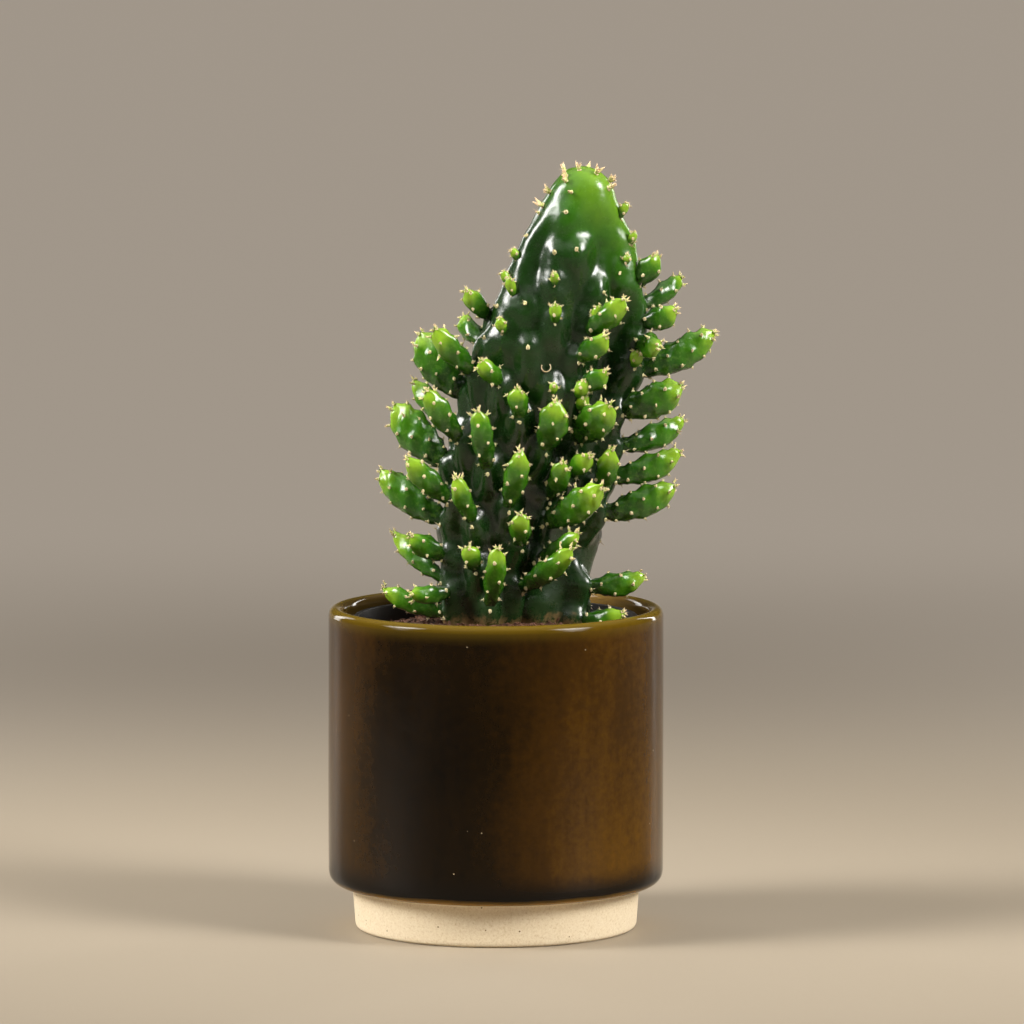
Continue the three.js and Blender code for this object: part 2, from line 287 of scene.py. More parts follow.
def stoneware():
    """Thrown stoneware: poured olive-brown glaze that breaks to amber where it runs thin, over a cream
    body left bare at the foot. Painted light turns the glaze more amber toward the right, a painted
    reflection lightens its left edge and painted shade makes it nearly black where the wall turns
    under. The eye sees deep gloss above and a dry chalky band below."""
    material, tree, shader, place = finish("glazed_stoneware", IOR=1.5, Specular_IOR_Level=0.15)
    split = add_node(tree, "SeparateXYZ", {0: place}).outputs
    cloud = add_node(tree, "TexNoise", {"Vector": place}, {"Scale": 1 / (55 * MM), "Roughness": 0.4})
    mottle = add_node(tree, "TexNoise", {"Vector": place},
                      {"Scale": 1 / (2.6 * MM), "Detail": 6, "Roughness": 0.65})
    upright = add_node(tree, "Mapping", {"Vector": place}, {"Scale": (1.0, 1.0, 0.16)})
    runs = add_node(tree, "TexNoise", {"Vector": upright},
                    {"Scale": 1 / (5 * MM), "Detail": 5, "Roughness": 0.6})
    speckled = add_node(tree, "Mix", {NUMBER_A: runs, NUMBER_B: mottle}, {FACTOR: 0.6})
    pooled = add_node(tree, "Mix", {NUMBER_A: cloud, NUMBER_B: speckled}, {FACTOR: 0.5})
    # Painted light: the glaze is painted lighter and more amber toward the right, and a painted reflection
    # lightens its left edge.
    right = add_node(tree, "MapRange", {"Value": split["X"]},
                     {"From Min": -14 * MM, "From Max": 34 * MM, "To Max": 0.24},
                     interpolation_type="SMOOTHSTEP")
    left = add_node(tree, "MapRange", {"Value": split["X"]},
                    {"From Min": -30 * MM, "From Max": -52 * MM, "To Max": 0.16},
                    interpolation_type="SMOOTHSTEP")
    sides = add_node(tree, "Math", {0: right, 1: left})
    glaze_depth_and_painted_light = add_node(tree, "Math", {0: pooled, 2: sides}, {1: 0.6}, operation="MULTIPLY_ADD")
    glaze = add_node(tree, "ValToRGB", {0: glaze_depth_and_painted_light},
                     stops=[(0.22, "#080401"), (0.34, "#170d02"), (0.5, "#352003"), (0.66, "#573905")])
    # The glaze runs thin over the lip, down the last millimetres above the foot, and inside. Where the
    # wall turns under, above the foot, it is painted nearly black: painted shade.
    gathered = add_node(tree, "MapRange", {"Value": split["Z"]},
                        {"From Min": FOOT_TOP + 12 * MM, "From Max": FOOT_TOP + 3 * MM},
                        interpolation_type="SMOOTHSTEP")
    shaded_underside = add_node(tree, "Mix", {FACTOR: gathered, COLOUR_A: glaze},
                    {COLOUR_B: "#0d0804"}, data_type="RGBA")
    lip = add_node(tree, "MapRange", {"Value": split["Z"]},
                   {"From Min": POT_HIGH[2] - 7 * MM, "From Max": POT_HIGH[2] - 0.5 * MM})
    lip_edge = add_node(tree, "Math", {0: lip}, {1: 2.0}, operation="POWER")
    thin_lip = add_node(tree, "Mix", {FACTOR: lip_edge, COLOUR_A: shaded_underside},
                        {COLOUR_B: "#5e4b10"}, data_type="RGBA")
    level = add_node(tree, "CombineXYZ", {0: split["X"], 1: split["Y"]})
    radius = add_node(tree, "VectorMath", {0: level}, operation="LENGTH")
    inside = add_node(tree, "MapRange", {"Value": radius.outputs["Value"]},
                      {"From Min": POT_HIGH[0] - 3.2 * MM, "From Max": POT_HIGH[0] - 4.6 * MM})
    lined = add_node(tree, "Mix", {FACTOR: inside, COLOUR_A: thin_lip},
                     {COLOUR_B: "#7d6232"}, data_type="RGBA")
    # The dipped line wanders by about a millimetre round the foot.
    wander = add_node(tree, "TexNoise", {"Vector": place}, {"Scale": 1 / (14 * MM), "Detail": 3})
    line = add_node(tree, "Math", {0: wander, 2: split["Z"]}, {1: 1.6 * MM}, operation="MULTIPLY_ADD")
    edge_height = FOOT_TOP + 0.9 * MM
    thin_foot = add_node(tree, "MapRange", {"Value": line},
                         {"From Min": edge_height + 2.2 * MM, "From Max": edge_height + 0.2 * MM})
    glazed = add_node(tree, "Mix", {FACTOR: thin_foot, COLOUR_A: lined},
                      {COLOUR_B: "#8a6312"}, data_type="RGBA")
    grog = add_node(tree, "TexNoise", {"Vector": place},
                    {"Scale": 1 / (0.7 * MM), "Detail": 8, "Roughness": 0.75})
    clay = add_node(tree, "ValToRGB", {0: grog},
                    stops=[(0.3, "#b69f7e"), (0.45, "#d3c2a4"), (0.75, "#e1d5bd")])
    iron = add_node(tree, "TexVoronoi", {"Vector": place}, {"Scale": 1 / (4.5 * MM)})
    speck = add_node(tree, "MapRange", {"Value": iron.outputs["Distance"]},
                     {"From Min": 0.075, "From Max": 0.05})
    specked = add_node(tree, "Mix", {FACTOR: speck, COLOUR_A: clay},
                       {COLOUR_B: "#6a5230"}, data_type="RGBA")
    bare = add_node(tree, "MapRange", {"Value": line},
                    {"From Min": edge_height + 0.15 * MM, "From Max": edge_height - 0.15 * MM})
    dust = add_node(tree, "TexVoronoi", {"Vector": place}, {"Scale": 1 / (8 * MM)})
    mote = add_node(tree, "MapRange", {"Value": dust.outputs["Distance"]},
                    {"From Min": 0.035, "From Max": 0.02, "To Max": 0.7})
    dusted = add_node(tree, "Mix", {FACTOR: mote, COLOUR_A: glazed},
                      {COLOUR_B: "#a8977a"}, data_type="RGBA")
    colour = add_node(tree, "Mix", {FACTOR: bare, COLOUR_A: dusted, COLOUR_B: specked}, data_type="RGBA")
    dryness = add_node(tree, "MapRange", {"Value": bare}, {"To Min": 0.08, "To Max": 0.85})
    # Poured glaze has a faint orange-peel swell; bare clay has a gritty tooth.
    swell = add_node(tree, "TexNoise", {"Vector": place}, {"Scale": 1 / (9 * MM)})
    tooth = add_node(tree, "Mix", {FACTOR: bare, NUMBER_A: swell, NUMBER_B: grog})
    bump = add_node(tree, "Bump", {"Height": tooth}, {"Strength": 0.35, "Distance": 0.25 * MM})
    feed(tree, shader, Base_Color=colour, Roughness=dryness, Normal=bump)
    return material


def nursery_plastic():
    """Thin vacuum-formed black polypropylene: a dull satin skin with a fine mould grain and dust."""
    material, tree, shader, place = finish("black_polypropylene", IOR=1.49, Specular_IOR_Level=0.3)
    dust = add_node(tree, "TexNoise", {"Vector": place},
                    {"Scale": 1 / (6 * MM), "Detail": 8, "Roughness": 0.7})
    colour = add_node(tree, "ValToRGB", {0: dust},
                      stops=[(0.4, "#0b0b0b"), (0.62, "#131312"), (0.8, "#2f2a23")])
    worn = add_node(tree, "MapRange", {"Value": dust},
                    {"From Min": 0.3, "From Max": 0.8, "To Min": 0.3, "To Max": 0.6})
    grain = add_node(tree, "TexNoise", {"Vector": place}, {"Scale": 1 / (0.5 * MM)})
    bump = add_node(tree, "Bump", {"Height": grain}, {"Strength": 0.3, "Distance": 0.08 * MM})
    feed(tree, shader, Base_Color=colour, Roughness=worn, Normal=bump)
    return material


def peat():
    """Damp peat and fine bark: red-brown crumbs, nearly black where they are wet, paler where dry."""
    material, tree, shader, place = finish("peat_compost", IOR=1.4)
    crumb = add_node(tree, "TexNoise", {"Vector": place},
                     {"Scale": 1 / (3 * MM), "Detail": 10, "Roughness": 0.8})
    chip = add_node(tree, "TexVoronoi", {"Vector": place}, {"Scale": 1 / (2.2 * MM)})
    toned = add_node(tree, "Mix", {FACTOR: chip.outputs["Color"], NUMBER_A: crumb}, {NUMBER_B: 0.75})
    colour = add_node(tree, "ValToRGB", {0: toned},
                      stops=[(0.3, "#150d08"), (0.5, "#342015"), (0.66, "#5c3a28"), (0.8, "#8a6650")])
    damp = add_node(tree, "MapRange", {"Value": crumb},
                    {"From Min": 0.3, "From Max": 0.6, "To Min": 0.55, "To Max": 0.95})
    bump = add_node(tree, "Bump", {"Height": crumb}, {"Strength": 0.9, "Distance": 0.6 * MM})
    feed(tree, shader, Base_Color=colour, Roughness=damp, Normal=bump)
    return material


def stem_skin():
    """Old cactus skin: tough, waxy and glossy. Deep green on the swellings and painted darker in the
    hollows between them as painted shade, apple green where it is still growing at the crown and, as
    painted light, further down its right side, and dulled by a grey-green bloom and cork near the soil."""
    material, tree, shader, place = finish("waxy_stem_skin", IOR=1.48, Coat_Weight=0.25,
                                           Coat_Roughness=0.16)
    split = add_node(tree, "SeparateXYZ", {0: place}).outputs
    swell = add_node(tree, "Attribute", attribute_name="swell").outputs["Fac"]
    cloud = add_node(tree, "TexNoise", {"Vector": place},
                     {"Scale": 1 / (14 * MM), "Detail": 4, "Roughness": 0.6})
    # Painted shade: the skin is painted darker in the hollows between the swellings, where swell is 0, than
    # on their crests.
    flesh = add_node(tree, "Mix", {FACTOR: swell},
                     {COLOUR_A: "#061604", COLOUR_B: "#14350a"}, data_type="RGBA")
    varied = add_node(tree, "Mix", {FACTOR: cloud, COLOUR_A: flesh},
                      {COLOUR_B: "#0e2807"}, data_type="RGBA")
    ripe = add_node(tree, "Math", {0: cloud, 2: split["Z"]}, {1: 26 * MM}, operation="MULTIPLY_ADD")
    # Painted light: the crown's apple green reaches further down on the stem's right side.
    lit_side = add_node(tree, "Math", {0: split["X"], 2: ripe}, {1: 1.1}, operation="MULTIPLY_ADD")
    crown = add_node(tree, "MapRange", {"Value": lit_side},
                     {"From Min": STEM_HIGH[2] + 4 * MM, "From Max": STEM_HIGH[2] + 56 * MM})
    young = add_node(tree, "ValToRGB", {0: crown},
                     stops=[(0.0, "#1a440d"), (0.45, "#3f7c10"), (1.0, "#86b12c")])
    greened = add_node(tree, "Mix", {FACTOR: crown, COLOUR_A: varied, COLOUR_B: young}, data_type="RGBA")
    # Wax bloom: a pale film, rubbed off on the swellings, thickest on the old foot of the stem.
    film = add_node(tree, "TexNoise", {"Vector": place},
                    {"Scale": 1 / (3.2 * MM), "Detail": 7, "Roughness": 0.7})
    old = add_node(tree, "MapRange", {"Value": split["Z"]},
                   {"From Min": COMPOST_TOP + 40 * MM, "From Max": COMPOST_TOP, "To Max": 0.08})
    bloom = add_node(tree, "Math", {0: film, 1: old}, operation="MULTIPLY")
    waxed = add_node(tree, "Mix", {FACTOR: bloom, COLOUR_A: greened},
                     {COLOUR_B: "#6f9066"}, data_type="RGBA")
    cork_height = add_node(tree, "Math", {0: film, 2: split["Z"]},
                           {1: -16 * MM}, operation="MULTIPLY_ADD")
    cork = add_node(tree, "MapRange", {"Value": cork_height},
                    {"From Min": COMPOST_TOP - 5 * MM, "From Max": COMPOST_TOP - 9 * MM})
    colour = add_node(tree, "Mix", {FACTOR: cork, COLOUR_A: waxed}, {COLOUR_B: "#7a5f3c"}, data_type="RGBA")
    sheen = add_node(tree, "MapRange", {"Value": film},
                     {"From Min": 0.3, "From Max": 0.75, "To Min": 0.18, "To Max": 0.34})
    dulled = add_node(tree, "Math", {0: sheen, 1: bloom})
    pores = add_node(tree, "TexNoise", {"Vector": place},
                     {"Scale": 1 / (1.1 * MM), "Detail": 5, "Roughness": 0.6})
    dimple = add_node(tree, "TexNoise", {"Vector": place}, {"Scale": 1 / (9 * MM), "Roughness": 0.4})
    uneven = add_node(tree, "Bump", {"Height": dimple}, {"Strength": 0.6, "Distance": 1.3 * MM})
    bump = add_node(tree, "Bump", {"Height": pores, "Normal": uneven},
                    {"Strength": 0.35, "Distance": 0.16 * MM})
    feed(tree, shader, Base_Color=colour, Roughness=dulled, Coat_Normal=bump, Normal=bump)
    return material


def young_skin():
    """Young cactus joint: taut, wet-looking skin, dark at the pinched foot and yellow-green at the
    soft tip, with faint pale streaks running its length."""
    material, tree, shader, place = finish("young_joint_skin", IOR=1.48, Specular_IOR_Level=0.35,
                                           Coat_Weight=0.5, Coat_Roughness=0.1)
    growth = add_node(tree, "Attribute", attribute_name="growth").outputs["Fac"]
    cloud = add_node(tree, "TexNoise", {"Vector": place},
                     {"Scale": 1 / (6 * MM), "Detail": 4, "Roughness": 0.6})
    ripe = add_node(tree, "Math", {0: cloud, 2: growth}, {1: 0.3}, operation="MULTIPLY_ADD")
    flesh = add_node(tree, "ValToRGB", {0: ripe},
                     stops=[(0.15, "#0d2604"), (0.48, "#1f4d07"), (0.8, "#3b710c"), (1.0, "#84ab27")])
    streak = add_node(tree, "TexNoise", {"Vector": place},
                      {"Scale": 1 / (1.6 * MM), "Detail": 6, "Roughness": 0.75})
    faint = add_node(tree, "MapRange", {"Value": streak},
                     {"From Min": 0.5, "From Max": 0.8, "To Max": 0.35})
    colour = add_node(tree, "Mix", {FACTOR: faint, COLOUR_A: flesh},
                      {COLOUR_B: "#82ab45"}, data_type="RGBA")
    gloss = add_node(tree, "MapRange", {"Value": cloud},
                     {"From Min": 0.3, "From Max": 0.7, "To Min": 0.13, "To Max": 0.27})
    bump = add_node(tree, "Bump", {"Height": streak}, {"Strength": 0.45, "Distance": 0.2 * MM})
    feed(tree, shader, Base_Color=colour, Roughness=gloss, Coat_Normal=bump, Normal=bump)
    return material


def areole_wool():
    """Areole felt: short cream wool, matt, browned in the hollows."""
    material, tree, shader, place = finish("areole_wool", IOR=1.4, Roughness=0.95)
    tuft = add_node(tree, "TexNoise", {"Vector": place},
                    {"Scale": 1 / (0.45 * MM), "Detail": 6, "Roughness": 0.8})
    colour = add_node(tree, "ValToRGB", {0: tuft},
                      stops=[(0.3, "#a58e5e"), (0.5, "#d8cb9c"), (0.72, "#efe8c8")])
    bump = add_node(tree, "Bump", {"Height": tuft}, {"Strength": 0.8, "Distance": 0.2 * MM})
    feed(tree, shader, Base_Color=colour, Normal=bump)
    return material


def spine_horn():
    """Cactus spine: dry horn, straw at the foot and paler to the point, with a dull polish."""
    material, tree, shader, place = finish("spine_horn", IOR=1.54, Roughness=0.42)
    band = add_node(tree, "TexNoise", {"Vector": place}, {"Scale": 1 / (2.5 * MM), "Detail": 4})
    colour = add_node(tree, "ValToRGB", {0: band}, stops=[(0.35, "#b89a72"), (0.6, "#e6d3b1")])
    feed(tree, shader, Base_Color=colour)
    return material


def leaf_skin():
    """Tiny fleshy leaf at a growing tip: yellow-green at the foot, drying to pinkish tan at the point."""
    material, tree, shader, place = finish("growing_leaf", IOR=1.45, Roughness=0.4)
    growth = add_node(tree, "Attribute", attribute_name="growth").outputs["Fac"]
    cloud = add_node(tree, "TexNoise", {"Vector": place}, {"Scale": 1 / (4 * MM), "Detail": 3})
    ripe = add_node(tree, "Math", {0: cloud, 2: growth}, {1: 0.5}, operation="MULTIPLY_ADD")
    colour = add_node(tree, "ValToRGB", {0: ripe},
                      stops=[(0.25, "#93b944"), (0.6, "#cfd080"), (0.85, "#e3d6a2"), (1.0, "#d9bd95")])
    feed(tree, shader, Base_Color=colour)
    return material


# ---- Pots ----

def meridian(node):
    """The outline of a turned CAD node, cut between its drain holes, as radius and height pairs that
    run from the middle of its underside, up the outside and back down to the middle of its floor."""
    points, faces = welded(node)
    turn = math.radians(30.01)
    heading = np.array([math.cos(turn), math.sin(turn), 0.0])
    aside = points @ np.cross(UP, heading)
    cuts = []
    for face in faces:
        crossed = []
        for a, b in zip(face, face[1:] + face[:1]):
            if aside[a] * aside[b] < 0:
                place = points[a] + (points[b] - points[a]) * aside[a] / (aside[a] - aside[b])
                crossed.append((max(place @ heading, 0.0), place[2]))
        if len(crossed) == 2 and max(crossed)[0] > 0:
            cuts.append(crossed)
    outline = [min((end for cut in cuts for end in cut), key=lambda end: (round(end[1], 5), end[0]))]
    while cuts:
        nearest = min(cuts, key=lambda cut: min(math.dist(end, outline[-1]) for end in cut))
        cuts.remove(nearest)
        far_end = max(nearest, key=lambda end: math.dist(end, outline[-1]))
        if math.dist(far_end, outline[-1]) > 0.1 * MM:
            outline.append(far_end)
    return outline


def rounded(outline, reach):
    """The same outline with every corner turned through a small curve, no longer than the reach."""
    points = [np.array(point) for point in outline]
    fine = [points[0]]
    for before, corner, after in zip(points, points[1:], points[2:]):
        back, onward = before - corner, after - corner
        room = min(reach, 0.4 * np.linalg.norm(back), 0.4 * np.linalg.norm(onward))
        back, onward = unit(back) * room, unit(onward) * room
        if np.linalg.norm(before - corner) > 4 * room:
            fine.append(corner + back * 1.8)
        for t in (0.0, 0.25, 0.5, 0.75, 1.0):
            fine.append(corner + back * (1 - t) ** 2 + onward * t ** 2)
        if np.linalg.norm(after - corner) > 4 * room:
            fine.append(corner + onward * 1.8)
    fine.append(points[-1])
    return [tuple(point) for point in fine]


def split_long(outline, longest):
    """Long straight stretches cut into even steps."""
    cut = [outline[0]]
    for before, after in zip(outline, outline[1:]):
        steps = max(1, math.ceil(math.dist(before, after) / longest))
        for step in range(1, steps + 1):
            share = step / steps
            cut.append(tuple(a + (b - a) * share for a, b in zip(before, after)))
    return cut


def cover_pot():
    """The glazed pot, turned from the CAD's own outline with its corners softened."""
    outline = split_long(rounded(meridian("cover_pot"), 0.9 * MM), 6 * MM)

    def ripple(angles, height):
        """Hand-finished walls wander by a tenth of a millimetre."""
        slow = np.sin(2 * angles + height * 40) + 0.6 * np.sin(3 * angles - height * 65 + 1)
        return slow * 0.07 * MM

    shape = Shape()
    shape.add(*turned(outline, 192, ripple), 0, 0.0)
    shape.build("glazed_cover_pot", [stoneware()], "cover_pot")


def drain_holes():
    """The middle and radius of each drain hole, from the corners round it in the frame."""
    low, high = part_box("nursery_pot")
    points = welded("nursery_pot")[0]
    reach = np.hypot(points[:, 0], points[:, 1])
    rims = points[(points[:, 2] < low.z + 0.1 * MM) & (reach > 0.1 * high.x) & (reach < 0.7 * high.x)]
    holes = []
    while len(rims):
        near = np.linalg.norm(rims - rims[0], axis=1) < 0.2 * high.x
        holes.append((rims[near].mean(axis=0), np.ptp(rims[near][:, 1]) / 2))
        rims = rims[~near]
    return holes


def punch_out(piece, punches):
    """Cuts a hole in the piece wherever a punch passes through it."""
    tool = new_object("punches", new_mesh("punches", np.vstack(punches.points), punches.faces))
    cut = piece.modifiers.new("drain_holes", "BOOLEAN")
    cut.operation = "DIFFERENCE"
    cut.solver = "EXACT"
    cut.object = tool
    cut_mesh = applied(piece)
    piece.modifiers.clear()
    piece.data = cut_mesh
    bpy.data.objects.remove(tool)


def nursery_pot():
    """The thin inner pot, turned the same way, with its drain holes punched."""
    outline = split_long(rounded(meridian("nursery_pot"), 0.4 * MM), 8 * MM)
    shape = Shape()
    shape.add(*turned(outline, 144), 0, 0.0)
    pot = shape.build("black_nursery_pot", [nursery_plastic()], "nursery_pot")
    punches = Shape()
    for middle, radius in drain_holes():
        punch = [(0, middle[2] - 2 * MM), (radius, middle[2] - 2 * MM), (radius, middle[2] + 3 * MM),
                 (0, middle[2] + 3 * MM)]
        points, faces = turned(punch, 40)
        punches.add(points + np.array([middle[0], middle[1], 0.0]), faces, 0, 0.0)
    punch_out(pot, punches)


def compost():
    """A crumbled surface with loose bits of bark and peat lying on it."""
    low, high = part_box("compost")
    radius = high.x
    rows, sides = 44, 132
    angles = np.linspace(0, 2 * math.pi, sides, endpoint=False)
    edge_height = max(vertex.co.z for vertex in NODES["compost"].data.vertices
                      if math.hypot(vertex.co.x, vertex.co.y) > radius * 0.98)

    def surface(x, y):
        reach = np.hypot(x, y) / radius
        heap = edge_height + (COMPOST_TOP - edge_height) * np.clip((0.98 - reach) / 0.45, 0, 1)
        lumps = np.sin(x * 900 + 2 * np.sin(y * 700)) * np.sin(y * 1100 + np.sin(x * 800))
        lumps += 0.5 * np.sin(x * 2300 + y * 1700) * np.sin(y * 2600 - x * 900)
        return heap + lumps * 0.45 * MM

    rings = []
    for share in np.linspace(1.0, 0.02, rows):
        x, y = np.cos(angles) * radius * share, np.sin(angles) * radius * share
        height = surface(x, y) + rng.uniform(-0.35, 0.35, sides) * MM
        rings.append(np.column_stack([x, y, height]))
    foot = ring_of(angles, RIGHT, -FRONT) * radius * 0.8 + UP * low.z
    shape = Shape()
    shape.add(*lofted(np.array([foot, *rings]), UP * low.z, UP * COMPOST_TOP), 0, 0.0)
    crumbs, coarse_every = 1100, 22
    for i in range(crumbs):
        away, turn = radius * 0.96 * math.sqrt(rng.uniform()), rng.uniform(0, 2 * math.pi)
        x, y = away * math.cos(turn), away * math.sin(turn)
        place = np.array([x, y, surface(x, y) + 0.2 * MM])
        heading = unit(np.array([rng.normal(), rng.normal(), rng.normal() * 0.35]))
        coarse = 2.4 if i % coarse_every == 0 else 1.0
        long, thick = coarse * rng.uniform(0.8, 2.6) * MM, rng.uniform(0.5, 1.3) * MM
        side, lift = across(heading)
        turns = np.arange(5) * 2 * math.pi / 5
        chunk = []
        for share in (0.15, 0.5, 0.85):
            broken = ring_of(turns, side, lift * 0.6) * (0.25 + 0.25 * rng.uniform(0.5, 1, 5)[:, None])
            chunk.append(place + heading * long * (share - 0.5) + broken * thick)
        tip = heading * long * 0.5
        shape.add(*lofted(np.array(chunk), place - tip, place + tip), 0, 0.0)
    shape.build("peat_compost", [peat()], "compost")


# ---- Plant ----

AREOLE_RADIUS = 0.57 * MM
BRISTLES = 5
AREOLE_GAP, CROWN_GAP = 12.5 * MM, 7 * MM  # the least room between areoles, and at the growing crown
SPIRAL_STEP = 0.33 * MM  # how far each areole of the spiral stands above the last
MERGING = 4  # how sharply one swelling gives way to the next
STEM_SWELLING = 5.6 * MM  # height from hollow to crest
# How far a swelling reaches above, below and beside its areole.
STEM_REACH = 5 * MM, 11 * MM, 4.4 * MM
JOINT_REACH = 0.9 * MM, 3.4 * MM, 1.2 * MM
SKIN, WOOL, HORN, LEAF = range(4)


def armed_areole(shape, place, normal, size, spines, longest, leaves=0, leaf_length=2.2 * MM):
    """An areole: a wool cushion with fine bristles, a few spines and, while it is young, small leaves."""
    wool_cushion(shape, place, normal, AREOLE_RADIUS * size, WOOL)
    side, lift = across(normal)

    def outward(least, most):
        turn, lean = rng.uniform(0, 2 * math.pi), rng.uniform(least, most)
        return unit(normal + (side * math.cos(turn) + lift * math.sin(turn)) * lean)

    root = place + normal * AREOLE_RADIUS * 0.2
    for _ in range(BRISTLES):
        spike(shape, root, outward(0.4, 1.8), size * rng.uniform(0.7, 1.1) * MM, 0.2 * MM, WOOL, 0.5)
    for _ in range(spines):
        spike(shape, root, outward(0.15, 0.9), longest * rng.uniform(0.5, 1.0), 0.24 * MM, HORN, 0.5)
    for _ in range(leaves):
        tip_leaf(shape, place, outward(0.1, 0.7), leaf_length * rng.uniform(0.6, 1.15), LEAF)


def swellings(points, sites, normals, sizes, above, below, beside):
    """How far each point is raised, from 0 to 1, by the swellings under the areoles. Each tails off
    downward, and neighbours run into each other without a crease."""
    raised = np.zeros(len(points))
    for site, normal, size in zip(sites, normals, sizes):
        side, lift = across(normal)
        offset = (points - site) / size
        rise, aside, out = offset @ lift, offset @ side, offset @ normal
        reach = np.where(rise > 0, above, below)
        bump = np.exp(-0.5 * ((rise / reach) ** 2 + (aside / beside) ** 2 + (out / (2 * beside)) ** 2))
        raised += bump ** MERGING
    return np.minimum(raised ** (1 / MERGING), 1.0)


def unevenness(points):
    """The slow wander of a skin that has grown and shrunk with the seasons, from -1 to 1."""
    x, y, z = points.T
    slow = np.sin(230 * x + 1.7 * np.sin(150 * z)) * np.sin(270 * z + 2.1 * np.sin(190 * y))
    quick = np.sin(640 * x + 330 * z) * np.sin(560 * z - 470 * y)
    return 0.7 * slow + 0.3 * quick


def club(share, foot):
    """Half width of a joint along its length: pinched foot, fullest two thirds up, blunt tip."""
    full = 0.56
    rise = np.clip(share / full, 0, 1)
    body = foot + (1 - foot) * np.sin(rise * math.pi / 2) ** 1.2
    cap = np.clip(1 - (np.clip(share - full, 0, None) / (1 - full)) ** 2.0, 0, 1) ** 0.72
    return body * cap


def joint(shape, foot, tip, middle, half_wide, half_thick, foot_share, spacing, leaves, leaf_length,
          youth=0.0):
    """One young joint, from its foot to its tip, with its swellings, areoles, spines and tip leaves."""
    along = unit(tip - foot)
    broad = unit(np.cross(along, FRONT))
    thin = np.cross(along, broad)
    length = np.linalg.norm(tip - foot)
    bow = middle - (foot + tip) / 2
    sway = broad * rng.uniform(-0.03, 0.03) * length
    rows, sides = max(14, int(length / (0.75 * MM))), 30
    turns = np.linspace(0, 2 * math.pi, sides, endpoint=False)
    shares = 0.5 - 0.5 * np.cos(np.linspace(0.02, 0.985, rows) * math.pi)

    def skin(share, turn):
        share, turn = np.broadcast_arrays(share, turn)
        centre = foot + np.multiply.outer(share, tip - foot)
        centre = centre + np.multiply.outer(4 * share * (1 - share), bow)
        centre = centre + np.multiply.outer(share ** 2, sway)
        fullness = club(share, foot_share)
        wide = np.sign(np.cos(turn)) * np.abs(np.cos(turn)) ** 0.9 * half_wide * fullness
        thick = np.sign(np.sin(turn)) * np.abs(np.sin(turn)) ** 0.9 * half_thick * fullness
        return centre + wide[..., None] * broad + thick[..., None] * thin

    grid = skin(shares[:, None], turns[None, :])
    area = math.pi * length * (half_wide + half_thick) * 0.75
    count = max(5, int(area / spacing ** 2))
    first_turn = rng.uniform(0, 2 * math.pi)
    sites, normals, places = [], [], []
    for i in range(count):
        share = 0.12 + 0.8 * ((i + 0.5) / count)
        turn = first_turn + i * GOLDEN_TURN
        site = skin(share, turn)
        outward = unit(broad * math.cos(turn) / half_wide + thin * math.sin(turn) / half_thick)
        lean = 0.15 + 1.3 * max(0.0, share - 0.78) / 0.22
        sites.append(site)
        normals.append(unit(outward + along * lean))
        places.append(share)
    flat = grid.reshape(-1, 3)
    lift_height = 0.19 * half_wide + 0.25 * MM
    raised = swellings(flat, sites, normals, [1.0] * count, *JOINT_REACH)
    centres = np.repeat(grid.mean(axis=1), sides, axis=0)
    flat = flat + unit_rows(flat - centres) * ((raised - 0.4) * lift_height)[:, None]
    ripeness = youth + rng.uniform(-0.14, 0.06)
    growth = np.concatenate([[0.0], np.repeat(shares, sides), [1.0]]) + ripeness
    points, faces = lofted(flat.reshape(grid.shape), foot, tip)
    shape.add(points, faces, SKIN, growth)
    for site, normal, share in zip(sites, normals, places):
        place = site + normal * lift_height * 0.6
        size, spines = rng.uniform(0.75, 1.05), rng.integers(1, 4)
        few = leaves if share > 0.8 else int(share > 0.6 and rng.uniform() < 0.3)
        armed_areole(shape, place, normal, size, spines, 1.5 * MM, few, leaf_length)
    for i in range(3):
        turn = first_turn + i * 2.1
        normal = unit(along + 0.5 * (broad * math.cos(turn) + thin * math.sin(turn)))
        place = tip - along * 0.6 * MM + (broad * math.cos(turn) + thin * math.sin(turn)) * half_thick * 0.3
        armed_areole(shape, place, normal, 0.9, 2, 1.3 * MM, leaves, leaf_length)


def measure_pad(node, stem_tree):
    """Where a CAD pad's foot, middle and tip lie, with its half width and half thickness."""
    points, faces = welded(node)
    edges = edges_of(faces)
    centre = points.mean(axis=0)
    axis = np.linalg.svd(points - centre)[2][0]
    ends = [points[np.argmax((points - centre) @ axis)], points[np.argmin((points - centre) @ axis)]]
    ends.sort(key=lambda end: stem_tree.find_nearest(Vector(end))[3])
    tip = ends[1]
    near = points[np.array([stem_tree.find_nearest(Vector(point))[3] < 0.6 * MM for point in points])]
    foot = near.mean(axis=0) if len(near) else ends[0]
    along = unit(tip - foot)
    broad = unit(np.cross(along, FRONT))
    thin = np.cross(along, broad)

    def section(share):
        height = (points - (foot + (tip - foot) * share)) @ along
        low, high = height[edges[:, 0]], height[edges[:, 1]]
        crossing = low * high < 0
        part = (low / (low - high))[crossing, None]
        a, b = points[edges[crossing, 0]], points[edges[crossing, 1]]
        return a + (b - a) * part

    middle = section(0.5)
    reach = [np.ptp(cut @ side) / 2 for side in (broad, thin) for cut in (section(0.55), section(0.65))]
    centre = foot + (tip - foot) * 0.5
    for side in (broad, thin):
        spread = (middle - centre) @ side
        centre = centre + side * (spread.max() + spread.min()) / 2
    return foot, centre, tip, max(reach[:2]), max(reach[2:])


def smoothed(points, edges, rounds, keep=0.5):
    """Points drawn toward the middle of their neighbours, which rounds off the facets."""
    count = np.bincount(edges.ravel(), minlength=len(points))[:, None]
    for _ in range(rounds):
        total = np.zeros_like(points)
        np.add.at(total, edges[:, 0], points[edges[:, 1]])
        np.add.at(total, edges[:, 1], points[edges[:, 0]])
        points = points * keep + (total / count) * (1 - keep)
    return points


